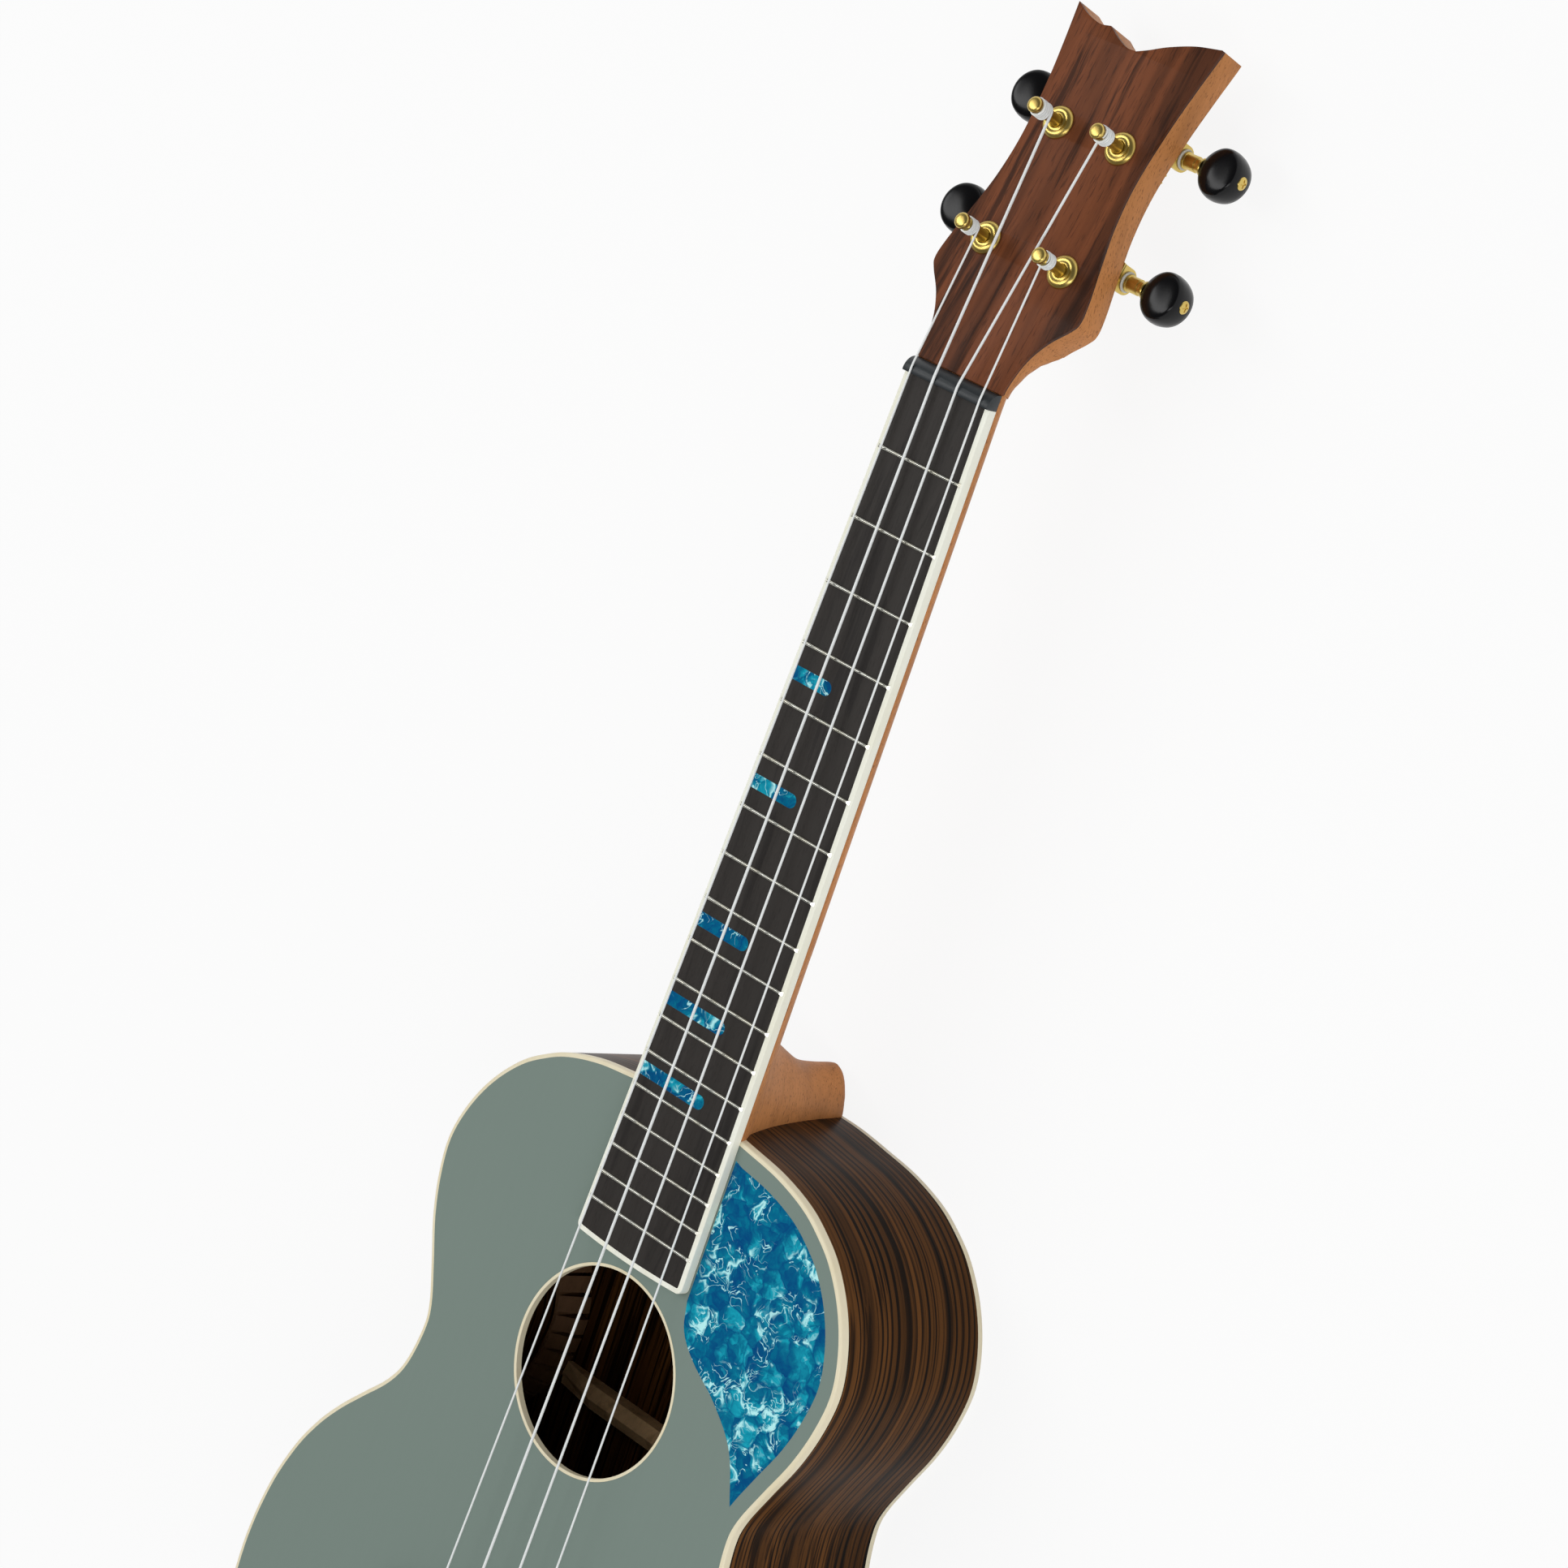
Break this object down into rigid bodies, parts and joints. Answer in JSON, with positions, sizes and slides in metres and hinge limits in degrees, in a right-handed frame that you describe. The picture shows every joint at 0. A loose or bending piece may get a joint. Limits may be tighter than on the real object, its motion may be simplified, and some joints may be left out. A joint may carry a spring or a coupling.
{
  "type": "tenor ukulele",
  "caption": "Tenor ukulele with a waisted hollow body, bound fretboard, crowned slanted headstock and open-gear worm tuners whose buttons turn the string posts.",
  "frame": {"origin": "centre of the bounding box, on the plane that the flat back rests on", "axes": "+X to the treble side, +Y from the tail to the headstock, +Z out of the soundboard; the back lies flat on Z = 0"},
  "size_m": [0.232, 0.6636, 0.0864],
  "materials": {
    "sage_paint": "satin grey-green lacquer",
    "rosewood": "semi-gloss dark striped wood",
    "cream_binding": "satin cream plastic",
    "blue_pearl": "crushed blue pearl",
    "spruce": "raw light wood",
    "mahogany": "satin reddish-brown wood",
    "headstock_rosewood": "satin dark red-brown wood",
    "dark_fretboard": "open-pored near-black wood",
    "saddle_bone": "polished white",
    "nut_black": "black satin",
    "gold_plate": "polished gold plating",
    "button_black": "gloss black",
    "nylon": "translucent white"
  },
  "bodies": {
    "instrument": {"soundboard": "sage_paint", "back": "rosewood", "side_bass": "rosewood", "side_treble": "rosewood", "top_binding": "cream_binding", "back_binding": "cream_binding", "soundhole_ring": "cream_binding", "fretboard_binding": "cream_binding", "pearl_panel": "blue_pearl", "neck": "mahogany", "headstock_veneer": "headstock_rosewood", "fretboard": "dark_fretboard", "nut": "nut_black", "bridge": "dark_fretboard", "saddle": "saddle_bone", "bridge_plate": "rosewood", "top_lining_bass": "spruce", "top_lining_treble": "spruce", "back_lining_bass": "spruce", "back_lining_treble": "spruce", "neck_block": "spruce", "tail_block": "spruce", "upper_transverse_brace": "spruce", "lower_transverse_brace": "spruce", "fan_brace_bass": "spruce", "fan_brace_centre": "spruce", "fan_brace_treble": "spruce", "back_brace_upper": "spruce", "back_brace_waist": "spruce", "back_brace_lower": "spruce", "string_g": "nylon", "tuner_plate_g": "gold_plate", "bushing_g": "gold_plate", "string_c": "nylon", "tuner_plate_c": "gold_plate", "bushing_c": "gold_plate", "string_e": "nylon", "tuner_plate_e": "gold_plate", "bushing_e": "gold_plate", "string_a": "nylon", "tuner_plate_a": "gold_plate", "bushing_a": "gold_plate"},
    "worm_g_body": {"worm_g": "gold_plate", "button_g": "button_black"},
    "post_g_body": {"post_g": "gold_plate", "gear_g": "gold_plate"},
    "worm_c_body": {"worm_c": "gold_plate", "button_c": "button_black"},
    "post_c_body": {"post_c": "gold_plate", "gear_c": "gold_plate"},
    "worm_e_body": {"worm_e": "gold_plate", "button_e": "button_black"},
    "post_e_body": {"post_e": "gold_plate", "gear_e": "gold_plate"},
    "worm_a_body": {"worm_a": "gold_plate", "button_a": "button_black"},
    "post_a_body": {"post_a": "gold_plate", "gear_a": "gold_plate"}
  },
  "joints": [
    {"name": "worm_g_spin", "type": "hinge", "parent": "instrument", "child": "worm_g_body", "pos_m": [-0.016, 0.2581, 0.02834], "axis": [-1, 0, 0], "continuous": true},
    {"name": "post_g_spin", "type": "hinge", "parent": "instrument", "child": "post_g_body", "pos_m": [-0.016, 0.25579, 0.04692], "axis": [0, 0.2793, 0.9602], "continuous": true},
    {"name": "worm_c_spin", "type": "hinge", "parent": "instrument", "child": "worm_c_body", "pos_m": [-0.0128, 0.29698, 0.01703], "axis": [-1, 0, 0], "continuous": true},
    {"name": "post_c_spin", "type": "hinge", "parent": "instrument", "child": "post_c_body", "pos_m": [-0.0128, 0.29468, 0.03561], "axis": [0, 0.2793, 0.9602], "continuous": true},
    {"name": "worm_e_spin", "type": "hinge", "parent": "instrument", "child": "worm_e_body", "pos_m": [0.0128, 0.29698, 0.01703], "axis": [1, 0, 0], "continuous": true},
    {"name": "post_e_spin", "type": "hinge", "parent": "instrument", "child": "post_e_body", "pos_m": [0.0128, 0.29468, 0.03561], "axis": [0, 0.2793, 0.9602], "continuous": true},
    {"name": "worm_a_spin", "type": "hinge", "parent": "instrument", "child": "worm_a_body", "pos_m": [0.016, 0.2581, 0.02834], "axis": [1, 0, 0], "continuous": true},
    {"name": "post_a_spin", "type": "hinge", "parent": "instrument", "child": "post_a_body", "pos_m": [0.016, 0.25579, 0.04692], "axis": [0, 0.2793, 0.9602], "continuous": true}
  ],
  "couplings": [
    {"joint": "post_g_spin", "follows": "worm_g_spin", "ratio": 0.071429},
    {"joint": "post_c_spin", "follows": "worm_c_spin", "ratio": 0.071429},
    {"joint": "post_e_spin", "follows": "worm_e_spin", "ratio": -0.071429},
    {"joint": "post_a_spin", "follows": "worm_a_spin", "ratio": -0.071429}
  ]
}
